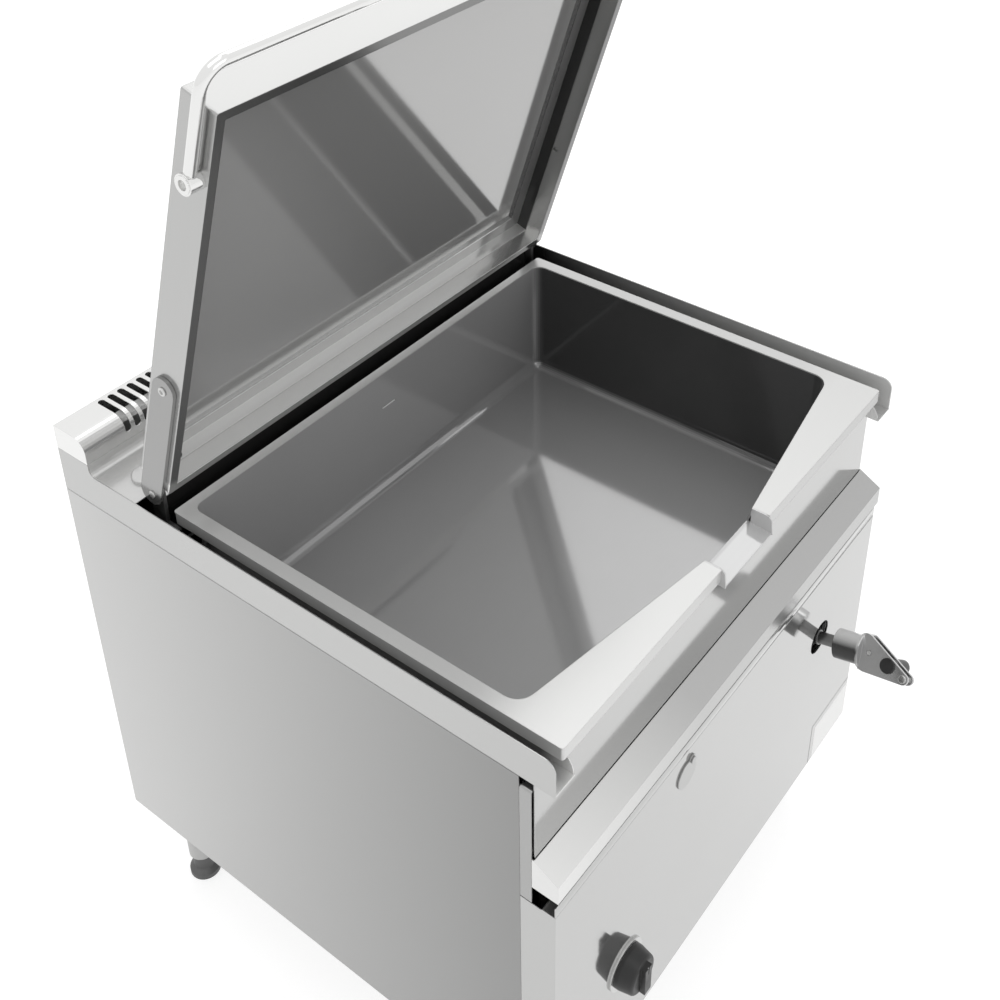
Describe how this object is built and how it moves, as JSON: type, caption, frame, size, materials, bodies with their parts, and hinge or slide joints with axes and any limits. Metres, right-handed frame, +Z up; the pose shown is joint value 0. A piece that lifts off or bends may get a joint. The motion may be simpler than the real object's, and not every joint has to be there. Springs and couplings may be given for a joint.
{
  "type": "tilting bratt pan",
  "caption": "Free-standing gas tilting bratt pan: steel cabinet on feet, deep rectangular pan with pouring spout and hinged lid, tilted by a crank and screw.",
  "frame": {"origin": "on the floor, under the centre of the bounding box of the machine with its lid open", "axes": "+X to the right of a person facing the front, +Y to the rear, +Z up"},
  "size_m": [0.8, 0.9634, 1.4987],
  "materials": {
    "satin_steel": "satin",
    "pan_steel": "satin",
    "bright_steel": "polished",
    "chrome": "polished",
    "dark_steel": "matte",
    "brass": "satin",
    "gas_pipe": "satin",
    "black_plastic": "satin"
  },
  "bodies": {
    "cabinet": {"base_tray": "satin_steel", "side_panel_left": "satin_steel", "side_panel_right": "satin_steel", "rear_panel": "satin_steel", "front_panel": "satin_steel", "corner_plate": "satin_steel", "hood": "satin_steel", "trim_left": "bright_steel", "trim_right": "bright_steel", "rail_left": "satin_steel", "rail_right": "satin_steel", "gutter_left": "satin_steel", "gutter_right": "satin_steel", "deck": "satin_steel", "flue_cover": "satin_steel", "flue_baffle": "satin_steel", "flue_duct": "dark_steel", "deck_cap": "bright_steel", "burner_frame": "dark_steel", "burner_tubes": "dark_steel", "gas_pipes": "gas_pipe", "gas_valve": "brass", "bearing_left": "dark_steel", "bearing_right": "dark_steel", "spindle_bracket": "dark_steel", "foot_sleeves": "satin_steel", "foot_pads": "dark_steel", "cover_screw": "bright_steel", "knob_bezel": "bright_steel"},
    "cover": {"peephole_cover": "bright_steel"},
    "knob": {"gas_knob": "black_plastic"},
    "pan": {"pan_shell": "pan_steel", "pan_rim": "pan_steel", "base_plate": "dark_steel", "tilt_axle": "bright_steel", "tilt_bracket_left": "satin_steel", "tilt_bracket_right": "satin_steel", "apron": "satin_steel", "apron_top": "satin_steel", "tilt_lever": "dark_steel", "lid_bracket_left": "dark_steel", "lid_bracket_right": "dark_steel"},
    "lid": {"lid_outer": "satin_steel", "lid_inner": "satin_steel", "lid_handle": "chrome", "handle_bosses": "chrome", "hinge_arm_left": "bright_steel", "hinge_arm_right": "bright_steel", "arm_bolts": "bright_steel", "hinge_pins": "bright_steel"},
    "yoke": {"spindle_yoke": "dark_steel"},
    "screw": {"spindle": "bright_steel", "crank_head": "bright_steel", "crank_pin": "bright_steel"},
    "bar": {"crank_bar": "black_plastic"},
    "nut": {"tilt_nut": "brass"}
  },
  "joints": [
    {"name": "pan_tilt", "type": "hinge", "parent": "cabinet", "child": "pan", "pos_m": [0, -0.28833, 0.69], "axis": [1, 0, 0], "range_deg": [0, 75]},
    {"name": "lid_hinge", "type": "hinge", "parent": "pan", "child": "lid", "pos_m": [0, 0.29317, 0.866], "axis": [1, 0, 0], "range_deg": [0, 72]},
    {"name": "yoke_swing", "type": "hinge", "parent": "cabinet", "child": "yoke", "pos_m": [0.2535, -0.31933, 0.472], "axis": [1, 0, 0], "range_deg": [0, 40.8]},
    {"name": "nut_travel", "type": "slide", "parent": "yoke", "child": "nut", "axis": [0, 0.9744, -0.225], "range_m": [0, 0.3155]},
    {"name": "screw_spin", "type": "hinge", "parent": "yoke", "child": "screw", "pos_m": [0.2535, -0.31933, 0.472], "axis": [0, -0.9744, 0.225], "range_deg": [0, 5400.5]},
    {"name": "bar_slide", "type": "slide", "parent": "screw", "child": "bar", "axis": [-0.766, 0.1446, 0.6263], "range_m": [0, 0.03]},
    {"name": "cover_swing", "type": "hinge", "parent": "cabinet", "child": "cover", "pos_m": [-0.115, -0.33603, 0.579], "axis": [0, -1, 0], "range_deg": [-110, 110]},
    {"name": "gas_knob_turn", "type": "hinge", "parent": "cabinet", "child": "knob", "pos_m": [-0.25, -0.34833, 0.33], "axis": [0, -1, 0], "range_deg": [0, 180]}
  ],
  "couplings": [
    {"joint": "yoke_swing", "follows": "pan_tilt", "ratio": 0.5436},
    {"joint": "nut_travel", "follows": "pan_tilt", "m_per_rad": 0.24084},
    {"joint": "screw_spin", "follows": "pan_tilt", "ratio": 72}
  ]
}
